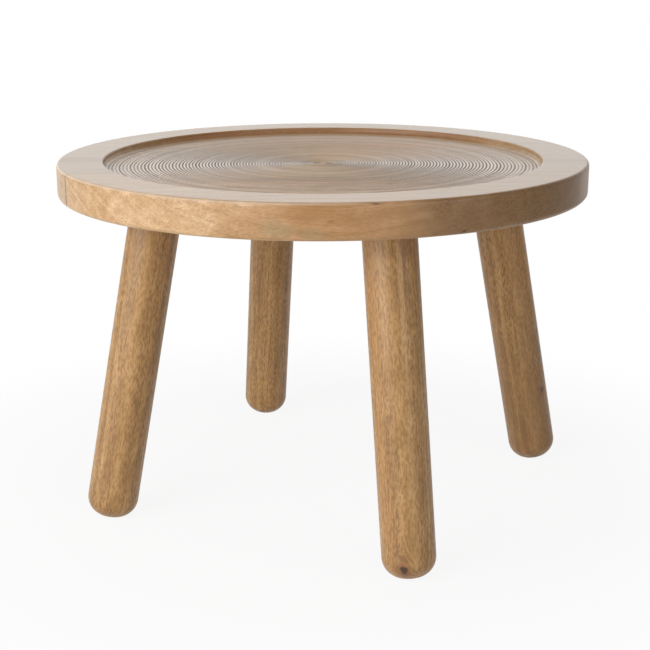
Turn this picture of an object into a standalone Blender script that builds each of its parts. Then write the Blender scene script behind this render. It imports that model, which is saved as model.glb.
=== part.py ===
"""A low round side table: an edge-glued wooden top with a shallow tray turned into it, standing on
four splayed legs that screw into threaded inserts in its underside.

Metres, +Z up. The feet stand on z = 0 and the top's centre is over the origin.
"""

import math

import bmesh
import bpy
from mathutils import Matrix

# Overall sizes
TABLE_HEIGHT = 0.400
TOP_DIAMETER = 0.600
TOP_THICKNESS = 0.037

# The tray turned into the top, and the rounds on the top's edges
RIM_WIDTH = 0.0515
TRAY_DEPTH = 0.0085
TRAY_CORNER_ROUND = 0.003
TRAY_EDGE_ROUND = 0.002
UPPER_ARRIS_ROUND = 0.004
LOWER_ARRIS_ROUND = 0.005

# The boards: the grain runs along them, turned from +X. The outer two have their own widths, counted
# in from the rim, and the inner ones share what lies between
FRONT_BOARD_WIDTH = 0.173
BACK_BOARD_WIDTH = 0.075
INNER_BOARDS = 3
GRAIN_ANGLE = math.radians(26)

# The legs: their axes cross the underside a set way in from the rim and lean out from there. The
# pockets are set out by hand, so each leg has its own bearing, and stands a little in (+) or out (-)
LEG_DIAMETER = 0.057
LEG_INSET = 0.096
LEG_SPLAY = math.radians(11)
LEG_SETTING_OUT = {
    "front_left": (math.radians(228.6), 0.008),
    "front_right": (math.radians(314.8), -0.002),
    "back_right": (math.radians(42.8), -0.008),
    "back_left": (math.radians(133.7), 0.002),
}
FOOT_ROUND = 0.022
FOOT_DRESSING = 0.0005
SHOULDER_CHAMFER = 0.001
SEAT_LIP = 0.001

# The hanger bolts and the inserts that they screw into
BOLT_DIAMETER = 0.008
BOLT_IN_LEG = 0.050
BOLT_IN_INSERT = 0.011
BOLT_POINT_LENGTH = 0.012
BOLT_POINT_DIAMETER = 0.003
INSERT_DIAMETER = 0.014
INSERT_LENGTH = 0.013
INSERT_COLLAR_DIAMETER = 0.019
INSERT_COLLAR_THICKNESS = 0.0015
METAL_CHAMFER = 0.0006

# Room left between pieces that meet
FIT_GAP = 0.0003

# Facets round each turned piece, and along each quarter round
TOP_STEPS = 96
LEG_STEPS = 32
METAL_STEPS = 20
QUARTER_STEPS = 5

# How far a cutter runs past what it cuts
OVERSHOOT = 0.020

# Sizes that follow from those above
TOP_RADIUS = TOP_DIAMETER / 2
TRAY_RADIUS = TOP_RADIUS - RIM_WIDTH
UNDERSIDE = TABLE_HEIGHT - TOP_THICKNESS
LEG_CIRCLE_RADIUS = TOP_RADIUS - LEG_INSET
LEG_RADIUS = LEG_DIAMETER / 2
BOLT_RADIUS = BOLT_DIAMETER / 2
BOLT_HOLE_RADIUS = BOLT_RADIUS + FIT_GAP
INSERT_RADIUS = INSERT_DIAMETER / 2
COLLAR_RADIUS = INSERT_COLLAR_DIAMETER / 2
SEAT_RISE = (SEAT_LIP + LEG_RADIUS * math.sin(LEG_SPLAY)) / math.cos(LEG_SPLAY)
SEAT_HEIGHT = UNDERSIDE + SEAT_RISE * math.cos(LEG_SPLAY)
FOOT_FLAT_RADIUS = LEG_RADIUS - FOOT_ROUND
FOOT_DROP = SEAT_HEIGHT + FOOT_DRESSING - FOOT_ROUND - FOOT_FLAT_RADIUS * math.sin(LEG_SPLAY)
LEG_LENGTH = FOOT_ROUND + FOOT_DROP / math.cos(LEG_SPLAY)

# Colour, roughness and metallic value of each finish
TOP_WOOD = ((0.50, 0.33, 0.17, 1.0), 0.42, 0.0)
LEG_WOOD = ((0.42, 0.26, 0.12, 1.0), 0.45, 0.0)
ZINC_STEEL = ((0.62, 0.63, 0.64, 1.0), 0.35, 1.0)
BRASS = ((0.78, 0.58, 0.28, 1.0), 0.32, 1.0)


def clear_scene():
    for old in list(bpy.data.objects):
        bpy.data.objects.remove(old)


def empty(name, parent=None, frame=None):
    """A point that pieces hang from, placed by a matrix in its parent's frame."""
    point = bpy.data.objects.new(name, None)
    bpy.context.scene.collection.objects.link(point)
    point.parent = parent
    point.matrix_basis = frame or Matrix.Identity(4)
    return point


def quarter(centre_radius, centre_height, radius, start):
    """Points of a quarter round in a turned profile, clockwise from the start angle in degrees."""
    points = []
    for step in range(QUARTER_STEPS + 1):
        angle = math.radians(start - 90 * step / QUARTER_STEPS)
        points.append((centre_radius + radius * math.cos(angle), centre_height + radius * math.sin(angle)))
    return points


def turned_mesh(name, profile, steps, ring=False):
    """Spins a profile of (radius, height) points round the local Z axis into a closed mesh. A ring's
    profile closes on itself, and any other starts and ends on the axis."""
    mesh = bpy.data.meshes.new(name)
    form = bmesh.new()
    points = [form.verts.new((radius, 0, height)) for radius, height in profile]
    edges = [form.edges.new(pair) for pair in zip(points, points[1:])]
    if ring:
        edges.append(form.edges.new((points[-1], points[0])))
    bmesh.ops.spin(
        form, geom=points + edges, cent=(0, 0, 0), axis=(0, 0, 1), angle=math.tau, steps=steps
    )
    bmesh.ops.remove_doubles(form, verts=form.verts, dist=0.00001)
    bmesh.ops.recalc_face_normals(form, faces=form.faces)
    form.to_mesh(mesh)
    form.free()
    mesh.shade_smooth()
    mesh.set_sharp_from_angle(angle=math.radians(35))
    return mesh


def piece(mesh, parent, finish, name=None):
    """One named piece of the table, with its own material."""
    made = bpy.data.objects.new(name or mesh.name, mesh)
    bpy.context.scene.collection.objects.link(made)
    made.parent = parent
    colour, roughness, metallic = finish
    material = bpy.data.materials.new(made.name + "_finish")
    material.use_nodes = True
    shader = material.node_tree.nodes["Principled BSDF"]
    shader.inputs["Base Color"].default_value = colour
    shader.inputs["Roughness"].default_value = roughness
    shader.inputs["Metallic"].default_value = metallic
    mesh.materials.append(material)
    return made


def cutter(mesh, parent):
    """A shape that only cuts others."""
    made = bpy.data.objects.new(mesh.name, mesh)
    bpy.context.scene.collection.objects.link(made)
    made.parent = parent
    made.hide_render = True
    made.display_type = "WIRE"
    return made


def box_mesh(name, low, high):
    """A box between two corners."""
    mesh = bpy.data.meshes.new(name)
    form = bmesh.new()
    size = [b - a for a, b in zip(low, high)]
    middle = [(a + b) / 2 for a, b in zip(low, high)]
    bmesh.ops.create_cube(form, size=1, matrix=Matrix.Translation(middle) @ Matrix.Diagonal((*size, 1)))
    form.to_mesh(mesh)
    form.free()
    return mesh


def boolean(target, tool, operation):
    change = target.modifiers.new(operation.lower() + "_" + tool.name, "BOOLEAN")
    change.operation = operation
    change.object = tool
    change.solver = "EXACT"


def top_profile():
    """Half of the top's section, from the middle of the tray's floor out over the rim to the underside."""
    floor = TABLE_HEIGHT - TRAY_DEPTH
    corner = quarter(TRAY_RADIUS - TRAY_CORNER_ROUND, floor + TRAY_CORNER_ROUND, TRAY_CORNER_ROUND, 0)
    edge = quarter(TRAY_RADIUS + TRAY_EDGE_ROUND, TABLE_HEIGHT - TRAY_EDGE_ROUND, TRAY_EDGE_ROUND, 180)
    upper = quarter(TOP_RADIUS - UPPER_ARRIS_ROUND, TABLE_HEIGHT - UPPER_ARRIS_ROUND, UPPER_ARRIS_ROUND, 90)
    lower = quarter(TOP_RADIUS - LOWER_ARRIS_ROUND, UNDERSIDE + LOWER_ARRIS_ROUND, LOWER_ARRIS_ROUND, 0)
    return [(0, floor), *reversed(corner), *edge, *upper, *lower, (0, UNDERSIDE)]


def seat_profile():
    """The pocket for a leg's shoulder, the recess for an insert's collar and the hole for its barrel.
    Heights are counted from the shoulder of the leg, along the leg's axis."""
    barrel = INSERT_RADIUS + FIT_GAP
    collar = COLLAR_RADIUS + FIT_GAP
    pocket = LEG_RADIUS + FIT_GAP
    hole_top = INSERT_LENGTH + 2 * FIT_GAP
    collar_top = INSERT_COLLAR_THICKNESS + 2 * FIT_GAP
    below = -2 * SEAT_RISE - OVERSHOOT
    return [
        (0, hole_top),
        (barrel, hole_top),
        (barrel, collar_top),
        (collar, collar_top),
        (collar, FIT_GAP),
        (pocket, FIT_GAP),
        (pocket, below),
        (0, below),
    ]


def leg_profile():
    """A straight leg with a chamfered shoulder, a hole for its bolt and a well-rounded foot."""
    hole_bottom = -BOLT_IN_LEG - FIT_GAP
    foot = quarter(FOOT_FLAT_RADIUS, FOOT_ROUND - LEG_LENGTH, FOOT_ROUND, 0)
    return [
        (0, hole_bottom),
        (BOLT_HOLE_RADIUS, hole_bottom),
        (BOLT_HOLE_RADIUS, 0),
        (LEG_RADIUS - SHOULDER_CHAMFER, 0),
        (LEG_RADIUS, -SHOULDER_CHAMFER),
        *foot,
        (0, -LEG_LENGTH),
    ]


def bolt_profile():
    """A hanger bolt: a straight end for the insert and a tapered end for the leg."""
    return [
        (0, BOLT_IN_INSERT),
        (BOLT_RADIUS - METAL_CHAMFER, BOLT_IN_INSERT),
        (BOLT_RADIUS, BOLT_IN_INSERT - METAL_CHAMFER),
        (BOLT_RADIUS, BOLT_POINT_LENGTH - BOLT_IN_LEG),
        (BOLT_POINT_DIAMETER / 2, -BOLT_IN_LEG),
        (0, -BOLT_IN_LEG),
    ]


def insert_profile():
    """A collared insert, flush with the floor of the leg's pocket and bored right through."""
    bottom = FIT_GAP
    top = bottom + INSERT_LENGTH
    collar_top = bottom + INSERT_COLLAR_THICKNESS
    return [
        (BOLT_HOLE_RADIUS, top),
        (INSERT_RADIUS - METAL_CHAMFER, top),
        (INSERT_RADIUS, top - METAL_CHAMFER),
        (INSERT_RADIUS, collar_top),
        (COLLAR_RADIUS, collar_top),
        (COLLAR_RADIUS, bottom),
        (BOLT_HOLE_RADIUS, bottom),
    ]


def glue_lines():
    """Distances of the glue lines from the centre, across the grain, front to back."""
    first = FRONT_BOARD_WIDTH - TOP_RADIUS
    inner_width = (TOP_DIAMETER - FRONT_BOARD_WIDTH - BACK_BOARD_WIDTH) / INNER_BOARDS
    return [first + line * inner_width for line in range(INNER_BOARDS + 1)]


def leg_frame(bearing, nudge):
    """The frame of a leg's seat: its origin in the middle of the shoulder, +Z up along the leg."""
    out = LEG_CIRCLE_RADIUS - nudge - SEAT_RISE * math.sin(LEG_SPLAY)
    turn = Matrix.Rotation(bearing, 4, "Z")
    lean = Matrix.Rotation(-LEG_SPLAY, 4, "Y")
    return turn @ Matrix.Translation((out, 0, SEAT_HEIGHT)) @ lean


def make_legs(table):
    """The four legs, each with its bolt and insert, and the cutters for their seats."""
    floor_reach = TOP_DIAMETER + TABLE_HEIGHT
    floor_low = (-floor_reach, -floor_reach, -OVERSHOOT)
    floor = cutter(box_mesh("floor_cutter", floor_low, (floor_reach, floor_reach, 0)), table)
    seats = []
    for place, (bearing, nudge) in LEG_SETTING_OUT.items():
        frame = empty("leg_seat_" + place, table, leg_frame(bearing, nudge))
        leg = piece(turned_mesh("leg_" + place, leg_profile(), LEG_STEPS), frame, LEG_WOOD)
        boolean(leg, floor, "DIFFERENCE")
        piece(turned_mesh("hanger_bolt_" + place, bolt_profile(), METAL_STEPS), frame, ZINC_STEEL)
        piece(turned_mesh("insert_" + place, insert_profile(), METAL_STEPS, ring=True), frame, BRASS)
        seats.append(cutter(turned_mesh("seat_cutter_" + place, seat_profile(), LEG_STEPS), frame))
    return seats


def make_top(table, seats):
    """The boards of the top, each cut from the turned disc between its glue lines."""
    grain = empty("grain", table, Matrix.Rotation(GRAIN_ANGLE, 4, "Z"))
    along = TOP_RADIUS + OVERSHOOT
    edges = [-along, *glue_lines(), along]
    for number, (front, back) in enumerate(zip(edges, edges[1:]), start=1):
        name = f"top_board_{number}"
        low = (-along, front + FIT_GAP / 2, UNDERSIDE - OVERSHOOT)
        high = (along, back - FIT_GAP / 2, TABLE_HEIGHT + OVERSHOOT)
        strip = cutter(box_mesh(name + "_strip", low, high), grain)
        board = piece(turned_mesh(name, top_profile(), TOP_STEPS), table, TOP_WOOD)
        boolean(board, strip, "INTERSECT")
        for seat in seats:
            boolean(board, seat, "DIFFERENCE")


clear_scene()
side_table = empty("side_table")
make_top(side_table, make_legs(side_table))
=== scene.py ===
"""The looks of a low round side table: a turned wooden top with a ringed tray, on four splayed legs.

Metres, +Z up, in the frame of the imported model: the feet stand on z = 0 under the top's centre.
"""

import math

import bmesh
import bpy
from mathutils import Matrix, Vector


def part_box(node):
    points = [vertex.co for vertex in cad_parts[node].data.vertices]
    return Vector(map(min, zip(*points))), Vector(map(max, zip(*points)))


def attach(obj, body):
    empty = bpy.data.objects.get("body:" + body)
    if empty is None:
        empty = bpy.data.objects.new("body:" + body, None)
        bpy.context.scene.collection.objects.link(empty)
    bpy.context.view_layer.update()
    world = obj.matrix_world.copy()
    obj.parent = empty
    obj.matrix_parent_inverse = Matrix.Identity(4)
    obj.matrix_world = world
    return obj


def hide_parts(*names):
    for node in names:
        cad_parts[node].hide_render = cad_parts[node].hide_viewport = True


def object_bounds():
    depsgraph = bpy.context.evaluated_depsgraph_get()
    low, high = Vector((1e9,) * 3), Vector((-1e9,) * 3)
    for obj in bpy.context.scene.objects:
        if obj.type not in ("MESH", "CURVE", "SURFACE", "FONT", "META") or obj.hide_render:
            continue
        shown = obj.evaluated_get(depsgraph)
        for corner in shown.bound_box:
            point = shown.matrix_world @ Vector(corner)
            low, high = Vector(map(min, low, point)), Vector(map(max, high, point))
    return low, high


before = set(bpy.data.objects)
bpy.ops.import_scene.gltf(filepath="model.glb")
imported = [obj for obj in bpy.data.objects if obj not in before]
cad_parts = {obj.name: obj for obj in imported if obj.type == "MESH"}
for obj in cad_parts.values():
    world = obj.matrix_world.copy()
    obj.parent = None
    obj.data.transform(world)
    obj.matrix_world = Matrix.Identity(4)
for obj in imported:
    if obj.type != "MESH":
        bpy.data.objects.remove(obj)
cad_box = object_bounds()

# The top is five boards of a warm, mango-like wood, glued edge to edge. The glued blank is turned on a
# lathe: a flat rim, a shallow tray with a cove under its wall, and 68 fine rings in the tray's floor,
# closer together and deeper towards the middle. The whole is sanded and given a satin lacquer.

TOP_HEIGHT = cad_box[1].z
TOP_RADIUS = cad_box[1].x
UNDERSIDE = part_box("top_board_1")[0].z
RIM_WIDTH = 0.0515
TRAY_RADIUS = TOP_RADIUS - RIM_WIDTH
TRAY_DEPTH = 0.0085
TRAY_FLOOR = TOP_HEIGHT - TRAY_DEPTH
TRAY_COVE = 0.006
TRAY_EDGE_ROUND = 0.002
UPPER_ARRIS_ROUND = 0.004
LOWER_ARRIS_ROUND = 0.005
SHORT_RUN = 0.0008
MIDDLE_PITCH = 0.0030
PITCH_GROWTH = 0.0048
FIRST_RING = 1
LAST_RING = 69
RING_DEPTH = 0.0011
CUTS_PER_RING = 8
TOP_SEGMENTS = 240
GRAIN_ANGLE = math.radians(26)
GRAIN = Matrix.Rotation(GRAIN_ANGLE, 4, "Z")
FRONT_BOARD_WIDTH = 0.173
BACK_BOARD_WIDTH = 0.075
INNER_BOARDS = 3
INNER_BOARD_WIDTH = (2 * TOP_RADIUS - FRONT_BOARD_WIDTH - BACK_BOARD_WIDTH) / INNER_BOARDS
FIRST_GLUE_LINE = FRONT_BOARD_WIDTH - TOP_RADIUS
GLUE_LINES = [FIRST_GLUE_LINE + line * INNER_BOARD_WIDTH for line in range(INNER_BOARDS + 1)]
GLUE_GAP = 0.00004
SAME_POINT = 0.00001
SAME_PLANE = 0.0000001
SHARP_ANGLE = math.radians(38)

PALE_TAN = (0.660, 0.450, 0.268, 1)
TAN = (0.535, 0.330, 0.160, 1)
SOFT_BROWN = (0.455, 0.265, 0.110, 1)
BROWN = (0.310, 0.170, 0.070, 1)
ORANGE = (0.560, 0.290, 0.120, 1)
ASH_BROWN = (0.490, 0.332, 0.186, 1)
OLIVE = (0.330, 0.235, 0.115, 1)
# Painted highlight on the upper arris.
ARRIS_HIGHLIGHT_TAN = (0.800, 0.640, 0.480, 1)
UMBER = (0.120, 0.058, 0.026, 1)
# Painted shade in the grooves of the rings.
GROOVE_SHADE_BROWN = (0.130, 0.085, 0.056, 1)
# Painted highlight on the crests of the rings.
CREST_HIGHLIGHT_TAN = (0.780, 0.620, 0.460, 1)
WALL_SHADE = (0.70, 0.58, 0.53, 1)
TRAY_SHADE = (0.90, 0.85, 0.82, 1)
KNOT_BROWN = (0.045, 0.022, 0.012, 1)


class Socket:
    """A socket of a node tree. Sums on it add Math nodes, and node() adds any other kind."""

    def __init__(self, tree, output=None):
        self.tree = tree
        self.output = output

    def node(self, kind, settings=(), inputs=(), output=0):
        made = self.tree.nodes.new(kind)
        for name, value in dict(settings).items():
            if name == "stops":
                ramp = made.color_ramp
                while len(ramp.elements) < len(value):
                    ramp.elements.new(1)
                for element, (place, colour) in zip(ramp.elements, value):
                    element.position = place
                    element.color = colour
            else:
                setattr(made, name, value)
        for name, value in dict(inputs).items():
            if isinstance(value, Socket):
                self.tree.links.new(value.output, made.inputs[name])
            else:
                made.inputs[name].default_value = value
        return Socket(self.tree, made.outputs[output] if made.outputs else None)

    def beside(self, output):
        """Another output of the same node."""
        return Socket(self.tree, self.output.node.outputs[output])

    def maths(self, operation, *others):
        return self.node("ShaderNodeMath", {"operation": operation}, enumerate((self, *others)))

    def vector(self, operation, *others, output=0):
        settings = {"operation": operation}
        return self.node("ShaderNodeVectorMath", settings, enumerate((self, *others)), output)

    def length(self):
        return self.vector("LENGTH", output="Value")

    def ramp(self, start, end):
        """Goes smoothly from 0 to 1 as the value goes from start to end."""
        return self.node("ShaderNodeMapRange", {"interpolation_type": "SMOOTHSTEP"}, {
            "Value": self, "From Min": start, "From Max": end,
        })

    def noise(self, stretch, detail, output="Fac"):
        """Noise at this place, which is stretched first."""
        return self.node("ShaderNodeTexNoise", {}, {
            "Vector": self.vector("MULTIPLY", stretch), "Scale": 1, "Detail": detail,
        }, output)

    def bands(self, detail, roughness=0.5):
        """Noise along this value alone."""
        return self.node("ShaderNodeTexNoise", {"noise_dimensions": "1D"}, {
            "W": self, "Scale": 1, "Detail": detail, "Roughness": roughness,
        })

    def within(self, place):
        """This place, measured along a piece's own axes."""
        return self.node("ShaderNodeMapping", {"vector_type": "TEXTURE"}, {
            "Vector": self, "Location": place.to_translation(), "Rotation": place.to_euler(),
        })

    def axis(self, name):
        """One coordinate of this place. The others are beside it."""
        return self.node("ShaderNodeSeparateXYZ", {}, {0: self}, name)

    def mixed(self, factor, other, blend="MIX"):
        """This colour mixed with another one."""
        settings = {"data_type": "RGBA", "blend_type": blend}
        return self.node("ShaderNodeMix", settings, {0: factor, 6: self, 7: other}, 2)

    def __add__(self, other):
        return self.maths("ADD", other)

    __radd__ = __add__

    def __sub__(self, other):
        return self.maths("SUBTRACT", other)

    def __rsub__(self, other):
        return self.node("ShaderNodeMath", {"operation": "SUBTRACT"}, {0: other, 1: self})

    def __mul__(self, other):
        return self.maths("MULTIPLY", other)

    __rmul__ = __mul__

    def __truediv__(self, other):
        return self.maths("DIVIDE", other)

    def __pow__(self, other):
        return self.maths("POWER", other)


def shape_tree(name, sockets):
    """An empty Geometry Nodes tree with named inputs: its first socket and its group's input."""
    tree = bpy.data.node_groups.new(name, "GeometryNodeTree")
    tree.is_modifier = True
    for label, kind in sockets:
        tree.interface.new_socket(label, in_out="INPUT", socket_type="NodeSocket" + kind)
    tree.interface.new_socket("Made", in_out="OUTPUT", socket_type="NodeSocketGeometry")
    start = Socket(tree)
    return start, start.node("NodeGroupInput", output=sockets[0][0])


def finished(start, shape, finish):
    """Ends a Geometry Nodes tree with a plain mesh in its finish."""
    solid = start.node("GeometryNodeRealizeInstances", {}, {"Geometry": shape})
    painted = start.node("GeometryNodeSetMaterial", {}, {"Geometry": solid, "Material": finish})
    start.node("NodeGroupOutput", {}, {"Made": painted})
    return start.tree


def lathe_tree():
    """A lathe: spins an outline of points in the XZ plane round Z, and turns rings into its upper face.
    Outwards the rings' pitch grows and they get shallower, and no two are quite equally deep."""
    start, outline = shape_tree("lathe", (
        ("Outline", "Geometry"), ("Segments", "Int"), ("Middle Pitch", "Float"),
        ("Pitch Growth", "Float"), ("First Ring", "Float"), ("Last Ring", "Float"),
        ("Ring Depth", "Float"), ("Finish", "Material"),
    ))
    segments = outline.beside("Segments")
    growth = outline.beside("Pitch Growth")
    count = start.node(
        "GeometryNodeAttributeDomainSize", {"component": "MESH"}, {"Geometry": outline}, "Point Count"
    )
    sheet = start.node("GeometryNodeMeshGrid", {}, {
        "Size X": count - 1, "Size Y": segments, "Vertices X": count, "Vertices Y": segments + 1,
    })
    spot = start.node("GeometryNodeInputPosition")
    column = spot.axis("X")
    turn = (column.beside("Y") / segments + 0.5) * math.tau
    point = start.node("GeometryNodeSampleIndex", {"data_type": "FLOAT_VECTOR"}, {
        "Geometry": outline, "Value": spot, "Index": (column + (count - 1) / 2).maths("ROUND"),
    })
    radius = point.axis("X")
    ring = (1 + growth * radius / outline.beside("Middle Pitch")).maths("LOGARITHM", math.e) / growth
    number = (ring + 0.001).maths("FLOOR")
    uneven = start.node("ShaderNodeTexWhiteNoise", {"noise_dimensions": "1D"}, {"W": number}, "Value")
    groove = (0.5 - 0.5 * (ring * math.tau).maths("COSINE")) ** 1.6
    turned_in = ring.maths("GREATER_THAN", outline.beside("First Ring"))
    turned_in = turned_in * ring.maths("LESS_THAN", outline.beside("Last Ring"))
    shallower = radius.ramp(0.36, 0.12)
    depth = outline.beside("Ring Depth") * (0.6 + 0.4 * uneven) * turned_in * shallower
    place = start.node("ShaderNodeCombineXYZ", {}, {
        "X": radius * turn.maths("COSINE"), "Y": radius * turn.maths("SINE"),
        "Z": radius.beside("Z") - depth * groove,
    })
    bent = start.node("GeometryNodeSetPosition", {}, {"Geometry": sheet, "Position": place})
    closed = start.node("GeometryNodeMergeByDistance", {}, {"Geometry": bent, "Distance": SAME_POINT})
    return finished(start, closed, outline.beside("Finish"))


LATHE = lathe_tree()


def placed(name, mesh):
    made = bpy.data.objects.new(name, mesh)
    bpy.context.scene.collection.objects.link(made)
    return made


def plain_mesh(made):
    """The mesh of an object with its modifiers applied. The object itself goes."""
    drawn = made.evaluated_get(bpy.context.evaluated_depsgraph_get())
    mesh = bpy.data.meshes.new_from_object(drawn)
    bpy.data.objects.remove(made)
    return mesh


def shaped(mesh, tree, **sizes):
    """A mesh put through a Geometry Nodes tree, with the tree's inputs given by name."""
    blank = placed("blank", mesh)
    tool = blank.modifiers.new(tree.name, "NODES")
    tool.node_group = tree
    for socket in tree.interface.items_tree:
        name = socket.name.lower().replace(" ", "_")
        if name in sizes:
            tool[socket.identifier] = sizes[name]
    return plain_mesh(blank)


def turned(outline, segments, finish, middle_pitch=1.0, pitch_growth=1.0, **rings):
    """A closed mesh turned on the lathe from an outline of (radius, height) points. Where the outline
    ends short of the axis, one flat face closes it."""
    mesh = bpy.data.meshes.new("outline")
    mesh.from_pydata(
        [(radius, 0, height) for radius, height in outline],
        [(point, point + 1) for point in range(len(outline) - 1)], [],
    )
    mesh = shaped(
        mesh, LATHE, segments=segments, finish=finish, middle_pitch=middle_pitch,
        pitch_growth=pitch_growth, **rings,
    )
    form = bmesh.new()
    form.from_mesh(mesh)
    bmesh.ops.holes_fill(form, edges=[edge for edge in form.edges if edge.is_boundary])
    bmesh.ops.recalc_face_normals(form, faces=form.faces)
    form.to_mesh(mesh)
    form.free()
    return mesh


def sawn(mesh, point, away):
    """The mesh with all beyond a plane sawn off and the cut closed."""
    form = bmesh.new()
    form.from_mesh(mesh)
    bmesh.ops.bisect_plane(
        form, geom=form.verts[:] + form.edges[:] + form.faces[:], dist=SAME_PLANE,
        plane_co=point, plane_no=away, clear_outer=True,
    )
    cut = bmesh.ops.holes_fill(form, edges=[edge for edge in form.edges if edge.is_boundary])
    bmesh.ops.triangulate(form, faces=cut["faces"], ngon_method="EAR_CLIP")
    bmesh.ops.recalc_face_normals(form, faces=form.faces)
    form.to_mesh(mesh)
    form.free()
    return mesh


def rounded(centre_radius, centre_height, radius, start, steps=8):
    """Points of a quarter round in an outline, clockwise from the start angle in degrees."""
    angles = [math.radians(start - 90 * step / steps) for step in range(steps + 1)]
    return [
        (centre_radius + radius * math.cos(angle), centre_height + radius * math.sin(angle))
        for angle in angles
    ]


def smooth(mesh):
    mesh.shade_smooth()
    mesh.set_sharp_from_angle(angle=SHARP_ANGLE)
    return mesh


def fitted(name, mesh, node):
    """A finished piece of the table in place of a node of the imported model."""
    made = placed(name, smooth(mesh))
    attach(made, "root")
    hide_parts(node)


def material(name):
    """An empty material, with its first socket and the place of a point of the piece."""
    paint = bpy.data.materials.new(name)
    paint.use_nodes = True
    paint.node_tree.nodes.clear()
    start = Socket(paint.node_tree)
    return paint, start, start.node("ShaderNodeTexCoord", output="Object")


def top_zones(here):
    """Where a point of the turned top lies: its share in the faces inside the edge, in the tray with its
    wall, in the tray's ringed floor and in the grooves of the rings, how far out it is and how high."""
    out = here.vector("MULTIPLY", (1, 1, 0)).length()
    height = here.axis("Z")
    below = TRAY_FLOOR - height
    face = out.ramp(TOP_RADIUS - 0.0005, TOP_RADIUS - 0.004)
    tray = out.ramp(TRAY_RADIUS + 0.0015, TRAY_RADIUS)
    tray = tray * height.ramp(UNDERSIDE + 0.016, UNDERSIDE + 0.018)
    ringed = out.ramp(TRAY_RADIUS - 0.0015, TRAY_RADIUS - 0.003)
    ringed = ringed * below.ramp(-0.0014, 0) * below.ramp(0.006, 0.003)
    groove = ringed * below.ramp(0.0001, 0.0005)
    return face, tray, ringed, groove, out, height


def top_painted_light_and_lacquer(zones, along, colour, coat, roughness):
    """What the top's wood gets beside its grain: a painted highlight on the left of the upper arris,
    painted shade on the tray's wall, a ringed floor darker outwards, painted shade in bands in the
    grooves of the rings, and a painted highlight and more lacquer shine on their crests. The underside
    has little lacquer."""
    face, tray, ringed, groove, out, height = zones
    # Painted highlight: the upper arris is painted pale on its left, where the key light catches it.
    arris = (height + out).ramp(TOP_HEIGHT + TOP_RADIUS - 0.0029, TOP_HEIGHT + TOP_RADIUS - 0.0023)
    colour = colour.mixed(0.5 * arris * along.ramp(0.10, -0.05), ARRIS_HIGHLIGHT_TAN)
    ends = along.maths("ABSOLUTE").ramp(0.16, 0.235)
    # Painted shade on the tray's wall, fading out at its left and right ends.
    colour = colour.mixed(tray * (1 - ringed) * (1 - 0.9 * ends), WALL_SHADE, "MULTIPLY")
    colour = colour.mixed(ringed * out.ramp(0.08, 0.15), TRAY_SHADE, "MULTIPLY")
    # Painted shade in the grooves of the rings: stronger towards the middle and in irregular bands along
    # the radius.
    groove_shade = (0.5 * out.ramp(0.23, 0.12) + (out * 75).bands(1).ramp(0.36, 0.62)) / 1.5
    crest = ringed * (1 - groove)
    inner = out.ramp(0.17, 0.07)
    # Painted highlight: the crests of the rings are painted pale, more so towards the middle and less
    # where the groove shade is strong.
    colour = colour.mixed((0.38 + 0.25 * inner) * crest * (1 - 0.7 * groove_shade), CREST_HIGHLIGHT_TAN)
    colour = colour.mixed((0.22 + 0.6 * groove_shade + 0.15 * inner) * groove, GROOVE_SHADE_BROWN)
    shine = out.ramp(0.004, 0.02) + 0.5 * out.ramp(0.03, 0.15) - 0.4 * out.ramp(0.18, 0.24)
    coat = coat * (0.65 + 0.35 * face - 0.9 * tray + 0.2 * ringed + crest * shine)
    coat = coat * height.ramp(UNDERSIDE - 0.001, UNDERSIDE + 0.006)
    return colour, coat, roughness + 0.2 * groove


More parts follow.
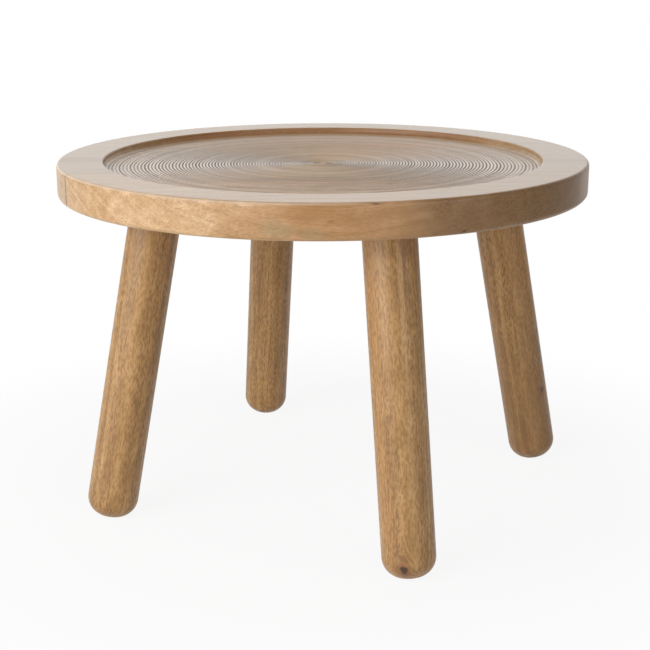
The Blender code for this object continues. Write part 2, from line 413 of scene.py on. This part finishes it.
def wood(
    name, place, tones, heart, cone, figure, weave, gloss, knots=(), marks=(), fades=(), seam=None,
    turned_top=False,
):
    """Solid lacquered wood with its grain along the place's X axis: growth rings round the heart of
    the tree, given across the grain, that widen into a cone, and streaks, a weave of short pores,
    knots that part the grain, soft marks and slow darkening along the piece, which on the top's edge is
    partly painted shade, darker to the right, away from the key light. The turned top gets its own
    painted highlights and shade, and a seam across the grain that shows dark at the left of its edge. A
    knot is (place, length, width, darkness), a mark (place, length, width, tint, strength) and a fade
    (start, end, tint), both ends along the grain."""
    paint, start, here = material(name)
    own = here.within(place)

    def offset_from(point):
        return own.vector("SUBTRACT", place.inverted() @ Vector(point))

    sway = own.noise((9, 30, 30), 1, "Color").vector("SUBTRACT", (0.5, 0.5, 0.5))
    grain = own.vector("ADD", sway.vector("MULTIPLY", (0, 0.009, 0.009)))
    ragged = grain.noise((190, 260, 260), 2) - 0.5
    rims = []
    for point, length, width, darkness in knots:
        offset = offset_from(point)
        far = offset.vector("MULTIPLY", (1 / length, 1 / width, 1 / width)).length()
        parted = offset.vector("MULTIPLY", (0, -0.7, -0.7)).vector("MULTIPLY", far.ramp(6, 1))
        grain = grain.vector("ADD", parted)
        rims.append((far + 1.3 * ragged, darkness))

    along = grain.axis("X")
    across = along.beside("Y") - heart[0]
    deep = along.beside("Z") - heart[1]
    drift = grain.noise((2.2, 11, 11), 2) - 0.5
    age = (across * across + deep * deep) ** 0.5 + cone * along + 0.014 * drift
    years = (age * 190).bands(2.5, 0.6)
    streak = grain.noise((3.5, 85, 85), 4)
    mottle = grain.noise((34, 80, 80), 3)
    blush = grain.noise((2.4, 15, 15), 2)
    open_years = (0.6 * years + 0.4 * streak).ramp(0.56, 0.42)
    pores = weave * grain.noise((165, 600, 600), 2).ramp(0.40, 0.62) * (0.6 + 0.4 * open_years)

    tone = 0.30 * years + 0.33 * streak + 0.37 * mottle
    edge = 1
    if turned_top:
        zones = top_zones(here)
        face, tray, *_ = zones
        edge = 1 - face
        tone = 0.5 + (tone - 0.5) * (1 - 0.5 * face + 1.4 * tray)
        pores = pores * (1 - 0.7 * face + 0.3 * tray)
    dark, middle, light = tones["dark"], tones["middle"], tones["light"]
    colour = start.node("ShaderNodeValToRGB", {
        "stops": ((0.5 - figure, dark), (0.5, middle), (0.5 + figure, light)),
    }, {"Fac": tone})
    colour = colour.mixed(0.6 * blush.ramp(0.5, 0.68), tones["blush"])
    # The fades act mostly on the top's edge. There their darkening to the right is partly painted shade,
    # away from the key light.
    for begin, end, tint in fades:
        colour = colour.mixed(along.ramp(begin, end) * (0.2 + 0.8 * edge), tint, "MULTIPLY")
    for point, length, width, tint, strength in marks:
        far = offset_from(point).vector("MULTIPLY", (1 / length, 1 / width, 1 / width)).length()
        far = far + 0.8 * ragged + mottle - 0.5
        colour = colour.mixed(strength * far.ramp(1.3, 0.5), tint)
    colour = colour.mixed(pores, tones["pore"])
    for far, darkness in rims:
        colour = colour.mixed(0.75 * darkness * far.ramp(2.6, 1.0), tones["knot"])
        colour = colour.mixed(darkness * far.ramp(1.2, 0.6), KNOT_BROWN)
    if seam is not None:
        line = (own.axis("Y") - seam).maths("ABSOLUTE").ramp(0.0042, 0.0018)
        colour = colour.mixed(0.75 * line * along.ramp(-0.14, -0.22) * edge, KNOT_BROWN)
    roughness = 0.42 + 0.10 * pores
    coat = gloss * (1 - 0.1 * pores)
    if turned_top:
        colour, coat, roughness = top_painted_light_and_lacquer(zones, along, colour, coat, roughness)

    bump = start.node("ShaderNodeBump", {}, {
        "Strength": 0.2, "Distance": 0.0002, "Height": 0.3 * streak - pores,
    })
    shader = start.node("ShaderNodeBsdfPrincipled", {}, {
        "Base Color": colour, "Roughness": roughness, "IOR": 1.45, "Normal": bump,
        "Coat Weight": coat, "Coat Roughness": 0.26, "Coat IOR": 1.4,
    })
    start.node("ShaderNodeOutputMaterial", {}, {"Surface": shader})
    return paint


def cove_rise(reach):
    """How far the tray's cove has risen above the floor at this reach from its start."""
    return TRAY_COVE - math.sqrt(TRAY_COVE ** 2 - reach ** 2)


ring_cuts = [
    MIDDLE_PITCH / PITCH_GROWTH * (math.exp(PITCH_GROWTH * cut / CUTS_PER_RING) - 1)
    for cut in range(FIRST_RING * CUTS_PER_RING, LAST_RING * CUTS_PER_RING + 1)
]
cove_start = TRAY_RADIUS - TRAY_COVE
cove = reversed(rounded(cove_start, TRAY_FLOOR + TRAY_COVE, TRAY_COVE, 0, 16))
# A short run beside each round keeps the flat next to it flat in the smooth shading.
top_outline = [
    (0, TRAY_FLOOR),
    *((radius, TRAY_FLOOR + cove_rise(max(0, radius - cove_start))) for radius in ring_cuts),
    *((radius, height) for radius, height in cove if radius > ring_cuts[-1]),
    *rounded(TRAY_RADIUS + TRAY_EDGE_ROUND, TOP_HEIGHT - TRAY_EDGE_ROUND, TRAY_EDGE_ROUND, 180),
    (TRAY_RADIUS + TRAY_EDGE_ROUND + SHORT_RUN, TOP_HEIGHT),
    (TOP_RADIUS - UPPER_ARRIS_ROUND - SHORT_RUN, TOP_HEIGHT),
    *rounded(TOP_RADIUS - UPPER_ARRIS_ROUND, TOP_HEIGHT - UPPER_ARRIS_ROUND, UPPER_ARRIS_ROUND, 90),
    (TOP_RADIUS, TOP_HEIGHT - UPPER_ARRIS_ROUND - SHORT_RUN),
    (TOP_RADIUS, UNDERSIDE + LOWER_ARRIS_ROUND + SHORT_RUN),
    *rounded(TOP_RADIUS - LOWER_ARRIS_ROUND, UNDERSIDE + LOWER_ARRIS_ROUND, LOWER_ARRIS_ROUND, 0),
    (TOP_RADIUS - LOWER_ARRIS_ROUND - SHORT_RUN, UNDERSIDE),
]
sun_tan = {"dark": SOFT_BROWN, "middle": TAN, "light": PALE_TAN, "pore": BROWN, "knot": UMBER}
ash_tan = {"dark": SOFT_BROWN, "middle": ASH_BROWN, "light": TAN, "pore": BROWN, "knot": UMBER}
# The fades darken the boards towards their right ends, most on the edge: partly the wood's colour,
# partly painted shade away from the key light.
darker_end = (0.17, 0.25, (0.58, 0.47, 0.34, 1))
board_looks = (
    {"tones": {**sun_tan, "blush": TAN}, "heart": (0.06, -0.10), "cone": 0.035, "seam": GLUE_LINES[0],
     "fades": ((-0.13, -0.03, (0.79, 0.69, 0.59, 1)), (0.06, 0.12, (0.50, 0.48, 0.40, 1)),
               (0.16, 0.24, (0.84, 0.80, 0.64, 1))),
     "knots": (((0.1733, -0.2436, 0.3985), 0.0030, 0.0008, 0.9),
               ((0.2386, -0.1814, 0.3665), 0.0030, 0.0010, 0.7),
               ((0.1385, -0.2660, 0.3829), 0.0026, 0.0007, 0.25)),
     "marks": (((0.0910, -0.2857, 0.3740), 0.018, 0.010, OLIVE, 0.75),
               ((0.1221, -0.2740, 0.3700), 0.014, 0.006, OLIVE, 0.6))},
    {"tones": {**ash_tan, "blush": BROWN}, "heart": (-0.08, -0.06), "cone": 0.02,
     "fades": (darker_end,),
     "marks": (((0.0249, -0.1087, TRAY_FLOOR), 0.060, 0.013, BROWN, 0.8),
               ((0.0645, -0.0297, TRAY_FLOOR), 0.045, 0.022, ORANGE, 0.4))},
    {"tones": {**ash_tan, "blush": TAN}, "heart": (0.05, -0.05), "cone": -0.02,
     "fades": (darker_end,),
     "knots": (((-0.0081, -0.0035, TRAY_FLOOR), 0.0070, 0.0016, 0.7),),
     "marks": (((0.0276, 0.0802, TRAY_FLOOR), 0.090, 0.040, ORANGE, 0.65),)},
    {"tones": {**ash_tan, "blush": SOFT_BROWN}, "heart": (0.17, -0.08), "cone": 0.015,
     "marks": (((0.0105, 0.1553, TRAY_FLOOR), 0.100, 0.040, ORANGE, 0.75),)},
    {"tones": {**ash_tan, "blush": SOFT_BROWN}, "heart": (0.30, -0.07), "cone": 0.02},
)
board_edges = (-TOP_RADIUS, *GLUE_LINES, TOP_RADIUS)
across_grain = GRAIN @ Vector((0, 1, 0))
boards = []
for number, (front, back, look) in enumerate(zip(board_edges, board_edges[1:], board_looks), start=1):
    finish = wood(
        f"top_wood_{number}", GRAIN, figure=0.12, weave=0.6, gloss=0.45, turned_top=True, **look
    )
    mesh = turned(
        top_outline, TOP_SEGMENTS, finish, middle_pitch=MIDDLE_PITCH, pitch_growth=PITCH_GROWTH,
        first_ring=float(FIRST_RING), last_ring=float(LAST_RING), ring_depth=RING_DEPTH,
    )
    if front > -TOP_RADIUS:
        mesh = sawn(mesh, across_grain * (front + GLUE_GAP / 2), -across_grain)
    if back < TOP_RADIUS:
        mesh = sawn(mesh, across_grain * (back - GLUE_GAP / 2), across_grain)
    boards.append(mesh)

# The pockets for the legs are bored into the underside at the legs' lean, set out by hand, so no two
# are quite alike. Each is a round seat with a recess and a hole in its floor for a threaded insert.

LEG_RADIUS = 0.0285
LEG_SPLAY = math.radians(11)
LEG_INSET = 0.096
LEG_CIRCLE_RADIUS = TOP_RADIUS - LEG_INSET
LEG_SETTING_OUT = {
    "front_left": (228.6, 0.008), "front_right": (314.8, -0.002),
    "back_right": (42.8, -0.008), "back_left": (133.7, 0.002),
}
SEAT_LIP = 0.001
SEAT_RISE = (SEAT_LIP + LEG_RADIUS * math.sin(LEG_SPLAY)) / math.cos(LEG_SPLAY)
SEAT_HEIGHT = UNDERSIDE + SEAT_RISE * math.cos(LEG_SPLAY)
SEAT_SEGMENTS = 96
FIT_GAP = 0.0003
COLLAR_HOLE_RADIUS = 0.0098
COLLAR_HOLE_DEPTH = 0.0021
BARREL_HOLE_RADIUS = 0.0073
BARREL_HOLE_DEPTH = 0.0136
BIT_LENGTH = 0.040

seat_outline = [
    (0, BARREL_HOLE_DEPTH),
    (BARREL_HOLE_RADIUS, BARREL_HOLE_DEPTH),
    (BARREL_HOLE_RADIUS, COLLAR_HOLE_DEPTH),
    (COLLAR_HOLE_RADIUS, COLLAR_HOLE_DEPTH),
    (COLLAR_HOLE_RADIUS, FIT_GAP),
    (LEG_RADIUS + FIT_GAP, FIT_GAP),
    (LEG_RADIUS + FIT_GAP, -BIT_LENGTH),
    (0, -BIT_LENGTH),
]
seats = {}
for place, (bearing, nudge) in LEG_SETTING_OUT.items():
    out = LEG_CIRCLE_RADIUS - nudge - SEAT_RISE * math.sin(LEG_SPLAY)
    turn = Matrix.Rotation(math.radians(bearing), 4, "Z")
    lean = Matrix.Rotation(-LEG_SPLAY, 4, "Y")
    seats[place] = turn @ Matrix.Translation((out, 0, SEAT_HEIGHT)) @ lean
    mesh = turned(seat_outline, SEAT_SEGMENTS, None)
    mesh.transform(seats[place])
    bit = placed("seat_bit", mesh)
    across = across_grain.dot(seats[place].to_translation())
    number = sum(1 for line in GLUE_LINES if across > line)
    board = placed("blank", boards[number])
    bore = board.modifiers.new("bore", "BOOLEAN")
    bore.operation = "DIFFERENCE"
    bore.object = bit
    bore.solver = "EXACT"
    boards[number] = plain_mesh(board)
    bpy.data.objects.remove(bit)

for number, mesh in enumerate(boards, start=1):
    fitted(f"turned_top_board_{number}", mesh, f"top_board_{number}")

# A brass insert is screwed into the floor of each pocket, flush with it. It is turned from bar with a
# thin collar, has a coarse thread outside to bite in the wood, and is tapped M8 right through.

INSERT_RADIUS = 0.007
INSERT_LENGTH = 0.013
COLLAR_RADIUS = 0.0095
COLLAR_THICKNESS = 0.0015
METAL_CHAMFER = 0.0006
METAL_SEGMENTS = 64
BORE_RADIUS = 0.0043
M8_PITCH = 0.00125
M8_DEPTH = 0.12
WOOD_PITCH = 0.003
WOOD_DEPTH = 0.16
THREAD_RUN_OUT = 0.0008
WALL_BAND = 0.0001
CUTS_PER_THREAD = 8

BRASS = (0.640, 0.400, 0.130, 1)
BRASS_TARNISH = (0.330, 0.190, 0.070, 1)


def thread_tree():
    """A die or tap: cuts a thread in a turned mesh round Z, between two heights and two radii. Its
    depth is a share of the radius, so that it thins out on a point. A depth below 0 cuts into the wall
    of a hole."""
    start, blank = shape_tree("thread", (
        ("Blank", "Geometry"), ("Pitch", "Float"), ("Depth", "Float"), ("Bottom", "Float"),
        ("Top", "Float"), ("Inner Radius", "Float"), ("Outer Radius", "Float"), ("Finish", "Material"),
    ))
    spot = start.node("GeometryNodeInputPosition")
    x = spot.axis("X")
    y = x.beside("Y")
    height = x.beside("Z")
    radius = (x * x + y * y) ** 0.5
    ridge = (height / blank.beside("Pitch") - y.maths("ARCTAN2", x) / math.tau).maths("PINGPONG", 0.5)
    run_out = (height - blank.beside("Bottom")).ramp(0, THREAD_RUN_OUT)
    run_out = run_out * (blank.beside("Top") - height).ramp(0, THREAD_RUN_OUT)
    on_wall = radius.maths("GREATER_THAN", blank.beside("Inner Radius"))
    on_wall = on_wall * radius.maths("LESS_THAN", blank.beside("Outer Radius"))
    share = 2 * ridge * run_out * on_wall * blank.beside("Depth")
    inwards = start.node("ShaderNodeCombineXYZ", {}, {"X": x * share * -1, "Y": y * share * -1})
    cut = start.node("GeometryNodeSetPosition", {}, {"Geometry": blank, "Offset": inwards})
    return finished(start, cut, blank.beside("Finish"))


THREAD = thread_tree()


def wall(radius, bottom, top, pitch):
    """Points up a straight wall in an outline, close enough together to cut a thread in."""
    steps = round((top - bottom) / pitch * CUTS_PER_THREAD)
    return [(radius, bottom + (top - bottom) * step / steps) for step in range(steps + 1)]


def metal(name, place, bright, tarnish, roughness):
    """Turned metal: fine tool marks round the place's Z axis, clouds of tarnish and rubbed spots."""
    paint, start, here = material(name)
    own = here.within(place)
    clouds = own.noise((170, 170, 170), 4)
    specks = own.noise((1500, 1500, 1500), 2)
    tool_marks = own.noise((60, 60, 5200), 2)
    colour = start.node("ShaderNodeValToRGB", {
        "stops": ((0.40, bright), (0.68, tarnish)),
    }, {"Fac": clouds})
    colour = colour.mixed(0.5 * specks.ramp(0.62, 0.74), tarnish)
    bump = start.node("ShaderNodeBump", {}, {
        "Strength": 0.15, "Distance": 0.00005, "Height": tool_marks - 0.4 * specks,
    })
    shader = start.node("ShaderNodeBsdfPrincipled", {}, {
        "Base Color": colour, "Metallic": 1, "Roughness": roughness + 0.22 * (clouds + specks - 1),
        "Normal": bump,
    })
    start.node("ShaderNodeOutputMaterial", {}, {"Surface": shader})
    return paint


insert_top = FIT_GAP + INSERT_LENGTH
collar_top = FIT_GAP + COLLAR_THICKNESS
insert_outline = [
    *wall(BORE_RADIUS, FIT_GAP, insert_top, M8_PITCH),
    (INSERT_RADIUS - METAL_CHAMFER, insert_top),
    *reversed(wall(INSERT_RADIUS, collar_top, insert_top - METAL_CHAMFER, WOOD_PITCH)),
    (COLLAR_RADIUS, collar_top),
    (COLLAR_RADIUS, FIT_GAP),
    (BORE_RADIUS, FIT_GAP),
]
for place, seat in seats.items():
    finish = metal("brass_" + place, seat, BRASS, BRASS_TARNISH, 0.34)
    mesh = turned(insert_outline, METAL_SEGMENTS, finish)
    mesh = shaped(
        mesh, THREAD, pitch=M8_PITCH, depth=-M8_DEPTH, bottom=FIT_GAP, top=insert_top,
        inner_radius=0.0, outer_radius=BORE_RADIUS + WALL_BAND, finish=finish,
    )
    mesh = shaped(
        mesh, THREAD, pitch=WOOD_PITCH, depth=WOOD_DEPTH, bottom=collar_top, top=insert_top,
        inner_radius=INSERT_RADIUS - WALL_BAND, outer_radius=INSERT_RADIUS + WALL_BAND, finish=finish,
    )
    mesh.transform(seat)
    fitted("threaded_insert_" + place, mesh, "insert_" + place)

# A hanger bolt of zinc-plated steel joins each leg to its insert: a coarse wood thread with a point is
# driven into the leg's top, and the M8 thread on the other end stands out of it.

BOLT_RADIUS = 0.004
BOLT_IN_LEG = 0.050
BOLT_IN_INSERT = 0.011
BOLT_POINT_LENGTH = 0.012
BOLT_POINT_RADIUS = 0.0015
SHANK_LENGTH = 0.008
BOLT_WOOD_DEPTH = 0.28

ZINC = (0.560, 0.575, 0.590, 1)
ZINC_DULL = (0.330, 0.335, 0.330, 1)

shank_end = -SHANK_LENGTH
point_start = BOLT_POINT_LENGTH - BOLT_IN_LEG
point_steps = round(BOLT_POINT_LENGTH / WOOD_PITCH * CUTS_PER_THREAD)
taper = [
    (BOLT_RADIUS + (BOLT_POINT_RADIUS - BOLT_RADIUS) * step / point_steps,
     point_start - BOLT_POINT_LENGTH * step / point_steps)
    for step in range(1, point_steps + 1)
]
bolt_outline = [
    (0, BOLT_IN_INSERT),
    (BOLT_RADIUS - METAL_CHAMFER, BOLT_IN_INSERT),
    *reversed(wall(BOLT_RADIUS, 0, BOLT_IN_INSERT - METAL_CHAMFER, M8_PITCH)),
    *reversed(wall(BOLT_RADIUS, point_start, shank_end, WOOD_PITCH)),
    *taper,
    (0, -BOLT_IN_LEG),
]
for place, seat in seats.items():
    finish = metal("zinc_" + place, seat, ZINC, ZINC_DULL, 0.30)
    mesh = turned(bolt_outline, METAL_SEGMENTS, finish)
    mesh = shaped(
        mesh, THREAD, pitch=M8_PITCH, depth=M8_DEPTH, bottom=0.0, top=BOLT_IN_INSERT,
        inner_radius=0.0, outer_radius=BOLT_RADIUS + WALL_BAND, finish=finish,
    )
    mesh = shaped(
        mesh, THREAD, pitch=WOOD_PITCH, depth=BOLT_WOOD_DEPTH, bottom=-BOLT_IN_LEG, top=shank_end,
        inner_radius=0.0, outer_radius=BOLT_RADIUS + WALL_BAND, finish=finish,
    )
    mesh.transform(seat)
    fitted("threaded_hanger_bolt_" + place, mesh, "hanger_bolt_" + place)

# The legs are turned from one piece of the same wood each, straight, with a well-rounded foot that is
# dressed level. Each stands in its pocket and is drawn up by the hanger bolt in its top.

FOOT_ROUND = 0.022
FOOT_DRESSING = 0.0005
SHOULDER_CHAMFER = 0.001
LEG_SEGMENTS = 96
FOOT_FLAT_RADIUS = LEG_RADIUS - FOOT_ROUND
FOOT_DROP = SEAT_HEIGHT + FOOT_DRESSING - FOOT_ROUND - FOOT_FLAT_RADIUS * math.sin(LEG_SPLAY)
LEG_LENGTH = FOOT_ROUND + FOOT_DROP / math.cos(LEG_SPLAY)

LEG_LIGHT = (0.490, 0.287, 0.118, 1)
LEG_TAN = (0.415, 0.232, 0.085, 1)
LEG_SHADE = (0.335, 0.180, 0.062, 1)
LEG_BROWN = (0.215, 0.110, 0.037, 1)
LEG_ORANGE = (0.440, 0.225, 0.080, 1)
RED_BROWN = (0.230, 0.095, 0.045, 1)

leg_outline = [
    (0, -BOLT_IN_LEG - FIT_GAP),
    (BORE_RADIUS, -BOLT_IN_LEG - FIT_GAP),
    (BORE_RADIUS, 0),
    (LEG_RADIUS - SHOULDER_CHAMFER, 0),
    (LEG_RADIUS, -SHOULDER_CHAMFER),
    (LEG_RADIUS, FOOT_ROUND - LEG_LENGTH + SHORT_RUN),
    *rounded(FOOT_FLAT_RADIUS, FOOT_ROUND - LEG_LENGTH, FOOT_ROUND, 0, 16),
    (0, -LEG_LENGTH),
]
leg_tones = {
    "dark": LEG_SHADE, "middle": LEG_TAN, "light": LEG_LIGHT, "blush": LEG_ORANGE, "pore": LEG_BROWN,
    "knot": RED_BROWN,
}
leg_looks = {
    "front_left": {"heart": (0.034, 0.012), "cone": 0.010,
                   "marks": (((-0.1700, -0.2171, 0.0690), 0.0010, 0.008, LEG_BROWN, 0.5),)},
    "front_right": {"heart": (-0.020, 0.045), "cone": 0.006,
                    "knots": (((0.1978, -0.2197, 0.0195), 0.0058, 0.0035, 0.92),),
                    "marks": (((0.1730, -0.1710, 0.3200), 0.038, 0.0018, LEG_BROWN, 0.6),)},
    "back_right": {"heart": (0.050, -0.020), "cone": 0.008,
                   "fades": ((0.12, 0.33, (0.70, 0.66, 0.62, 1)),),
                   "knots": (((0.2208, 0.1711, 0.0971), 0.0045, 0.0028, 0.75),)},
    "back_left": {"heart": (-0.030, -0.030), "cone": 0.010,
                  "knots": (((-0.1500, 0.1330, 0.2590), 0.0040, 0.0012, 0.9),),
                  "marks": (((-0.1560, 0.1350, 0.2310), 0.026, 0.0018, LEG_BROWN, 0.8),
                            ((-0.1640, 0.1410, 0.1920), 0.026, 0.0018, LEG_BROWN, 0.7),
                            ((-0.1750, 0.1480, 0.1510), 0.026, 0.0018, LEG_BROWN, 0.6))},
}
for place, seat in seats.items():
    down_the_leg = seat @ Matrix.Rotation(math.radians(90), 4, "Y")
    finish = wood(
        "leg_wood_" + place, down_the_leg, leg_tones, figure=0.08, weave=0.86, gloss=0.12,
        **leg_looks[place],
    )
    mesh = turned(leg_outline, LEG_SEGMENTS, finish)
    mesh.transform(seat)
    mesh = sawn(mesh, Vector((0, 0, 0)), Vector((0, 0, -1)))
    fitted("turned_leg_" + place, mesh, "leg_" + place)

# The studio: a plain pale floor that runs out to a white surround, with a large soft light at the
# left of the camera, weak ones at the far left and the right, a broad one overhead, and one behind, a
# little to the left, that lifts the rim.

FLOOR_REACH = 1.4
form = bmesh.new()
bmesh.ops.create_circle(form, cap_ends=True, cap_tris=True, radius=FLOOR_REACH, segments=96)
mesh = bpy.data.meshes.new("studio_floor")
form.to_mesh(mesh)
form.free()
floor = placed("studio_floor", mesh)
paint, start, here = material("studio_floor")
ray = start.node("ShaderNodeLightPath", output="Is Camera Ray")
seen = ray.maths("MAXIMUM", ray.beside("Is Glossy Ray"))
seen = seen.maths("MAXIMUM", ray.beside("Is Transmission Ray"))
pale = start.node("ShaderNodeBsdfDiffuse", {}, {"Color": (0.75, 0.75, 0.75, 1)})
white = start.node("ShaderNodeEmission", {}, {"Color": (1, 1, 1, 1), "Strength": 1})
shown = start.node("ShaderNodeMixShader", {}, {
    0: seen * (0.90 + 0.10 * here.length().ramp(0.30, 0.70)), 1: pale, 2: white,
})
start.node("ShaderNodeOutputMaterial", {}, {"Surface": shown})
mesh.materials.append(paint)

CAMERA_AZIMUTH = 25.91
CAMERA_ELEVATION = 15.87
CAMERA_DISTANCE = 1.543
CAMERA_AIM = Vector((0.0021, 0.0004, 0.1979))
CAMERA_ROLL = 0.15
FOCAL_PIXELS = 1298.7
PHOTO_SIZE = 650
WHITE_WALL_TURN = 11


def towards(azimuth, elevation):
    """The direction from the table to something seen round it, with azimuth 0 straight in front."""
    around = math.radians(azimuth)
    above = math.radians(elevation)
    level = math.cos(above)
    return Vector((math.sin(around) * level, -math.cos(around) * level, math.sin(above)))


surround = bpy.data.worlds.new("studio")
surround.use_nodes = True
surround.node_tree.nodes.clear()
start = Socket(surround.node_tree)
ray = start.node("ShaderNodeLightPath", output="Is Camera Ray")
way = start.node("ShaderNodeTexCoord", output="Generated")
behind = way.vector("DOT_PRODUCT", -towards(CAMERA_AZIMUTH + WHITE_WALL_TURN, 0), output="Value")
mirrored = ray.beside("Is Glossy Ray") * (0.15 + 0.85 * behind.ramp(0.2, 0.95))
lit = ray.maths("MAXIMUM", ray.beside("Is Transmission Ray")).maths("MAXIMUM", mirrored)
dim = start.node("ShaderNodeBackground", {}, {"Color": (1, 1, 1, 1), "Strength": 0.22})
white = start.node("ShaderNodeBackground", {}, {"Color": (1, 1, 1, 1), "Strength": 1})
sky = start.node("ShaderNodeMixShader", {}, {0: lit, 1: dim, 2: white})
start.node("ShaderNodeOutputWorld", {}, {"Surface": sky})
bpy.context.scene.world = surround


def soft_light(name, turn, elevation, distance, width, height, watts):
    """A soft light that stands this many degrees round the table from the camera."""
    lamp = bpy.data.lights.new(name, "AREA")
    lamp.shape = "RECTANGLE"
    lamp.size = width
    lamp.size_y = height
    lamp.energy = watts
    light = placed(name, lamp)
    away = towards(CAMERA_AZIMUTH + turn, elevation)
    light.location = Vector((0, 0, TOP_HEIGHT / 2)) + distance * away
    light.rotation_euler = away.to_track_quat("Z", "Y").to_euler()
    light.visible_camera = False


soft_light("key_light", turn=-44, elevation=18, distance=2.2, width=1.8, height=1.4, watts=41)
soft_light("side_light", turn=-76, elevation=4, distance=2.2, width=1.2, height=0.8, watts=6)
soft_light("fill_light", turn=40, elevation=16, distance=2.6, width=2.0, height=1.6, watts=16)
soft_light("overhead_light", turn=-60, elevation=75, distance=2.4, width=2.4, height=2.4, watts=2)
soft_light("back_light", turn=189, elevation=22, distance=2.6, width=3.4, height=2.0, watts=11)

lens = bpy.data.cameras.new("camera")
lens.sensor_width = 36
lens.lens = FOCAL_PIXELS * lens.sensor_width / PHOTO_SIZE
camera = placed("camera", lens)
away = towards(CAMERA_AZIMUTH, CAMERA_ELEVATION)
camera.location = CAMERA_AIM + CAMERA_DISTANCE * away
upright = away.to_track_quat("Z", "Y").to_matrix()
camera.rotation_euler = (upright @ Matrix.Rotation(math.radians(-CAMERA_ROLL), 3, "Z")).to_euler()
bpy.context.scene.camera = camera
bpy.context.scene.view_settings.view_transform = "Standard"
